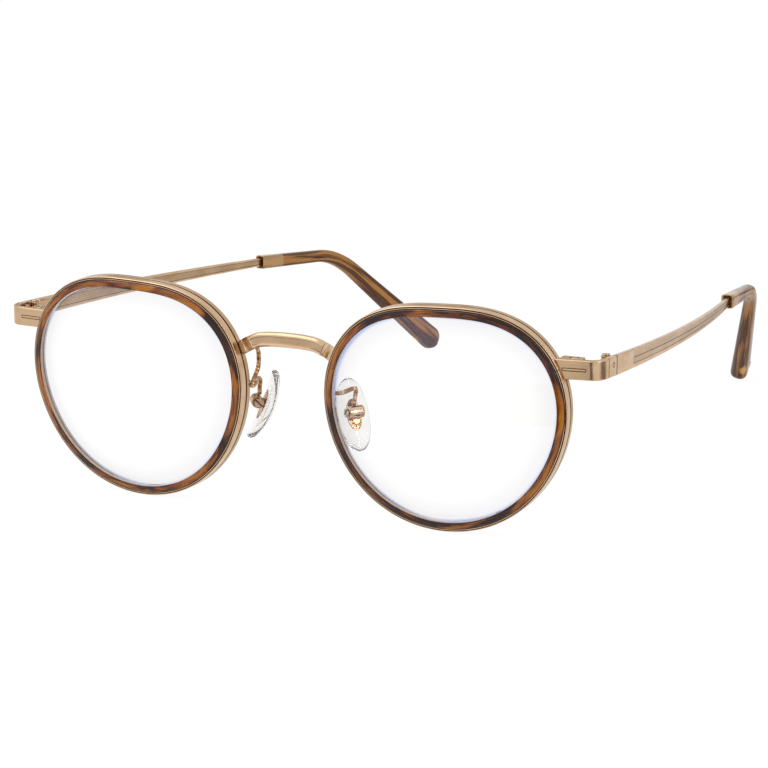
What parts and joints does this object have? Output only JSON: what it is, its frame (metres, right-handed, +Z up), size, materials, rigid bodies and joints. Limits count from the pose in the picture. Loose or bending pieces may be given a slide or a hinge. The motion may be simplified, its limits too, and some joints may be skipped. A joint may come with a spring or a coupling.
{
  "type": "eyeglasses",
  "caption": "Round eyeglasses with tortoise rings in a thin metal frame, adjustable nose pads and folding temples with curved ear tips.",
  "frame": {"origin": "middle of the base rectangle, on the surface that the rims and the ear tips stand on", "axes": "+X towards the wearer's left, +Y from the lenses back to the ear tips, +Z up"},
  "size_m": [0.1336, 0.1464, 0.045],
  "materials": {
    "gold_metal": "brushed satin, rose gold plated",
    "tortoise_acetate": "polished tortoise acetate",
    "tip_acetate": "polished translucent grey-brown acetate",
    "clear_lens": "clear coated lens",
    "clear_pad": "clear soft plastic"
  },
  "bodies": {
    "front": {"bridge": "gold_metal", "closing_block_lower_left": "gold_metal", "closing_block_lower_right": "gold_metal", "closing_block_upper_left": "gold_metal", "closing_block_upper_right": "gold_metal", "closing_screw_left": "gold_metal", "closing_screw_right": "gold_metal", "end_piece_left": "gold_metal", "end_piece_right": "gold_metal", "hinge_front_left": "gold_metal", "hinge_front_right": "gold_metal", "hinge_screw_left": "gold_metal", "hinge_screw_right": "gold_metal", "lens_left": "clear_lens", "lens_right": "clear_lens", "pad_arm_left": "gold_metal", "pad_arm_right": "gold_metal", "pad_box_left": "gold_metal", "pad_box_right": "gold_metal", "pad_screw_left": "gold_metal", "pad_screw_right": "gold_metal", "rim_insert_left": "tortoise_acetate", "rim_insert_right": "tortoise_acetate", "rim_left": "gold_metal", "rim_right": "gold_metal"},
    "temple_left": {"hinge_temple_left": "gold_metal", "temple_left": "gold_metal", "temple_tip_left": "tip_acetate", "tip_disc_left": "gold_metal"},
    "temple_right": {"hinge_temple_right": "gold_metal", "temple_right": "gold_metal", "temple_tip_right": "tip_acetate", "tip_disc_right": "gold_metal"},
    "nose_pad_left": {"nose_pad_left": "clear_pad", "pad_mount_left": "gold_metal"},
    "nose_pad_right": {"nose_pad_right": "clear_pad", "pad_mount_right": "gold_metal"}
  },
  "joints": [
    {"name": "temple_left_fold", "type": "hinge", "parent": "front", "child": "temple_left", "pos_m": [0.06451, -0.06105, 0.03396], "axis": [0, 0.0531, 0.9986], "range_deg": [0, 82]},
    {"name": "temple_right_fold", "type": "hinge", "parent": "front", "child": "temple_right", "pos_m": [-0.06451, -0.06105, 0.03396], "axis": [0, -0.0531, -0.9986], "range_deg": [0, 78]},
    {"name": "nose_pad_left_rock", "type": "hinge", "parent": "front", "child": "nose_pad_left", "pos_m": [0.01138, -0.06248, 0.01998], "axis": [0.6428, 0.7658, 0.0208], "range_deg": [-8, 8]},
    {"name": "nose_pad_right_rock", "type": "hinge", "parent": "front", "child": "nose_pad_right", "pos_m": [-0.01138, -0.06248, 0.01998], "axis": [-0.6428, 0.7658, 0.0208], "range_deg": [-8, 8]}
  ]
}
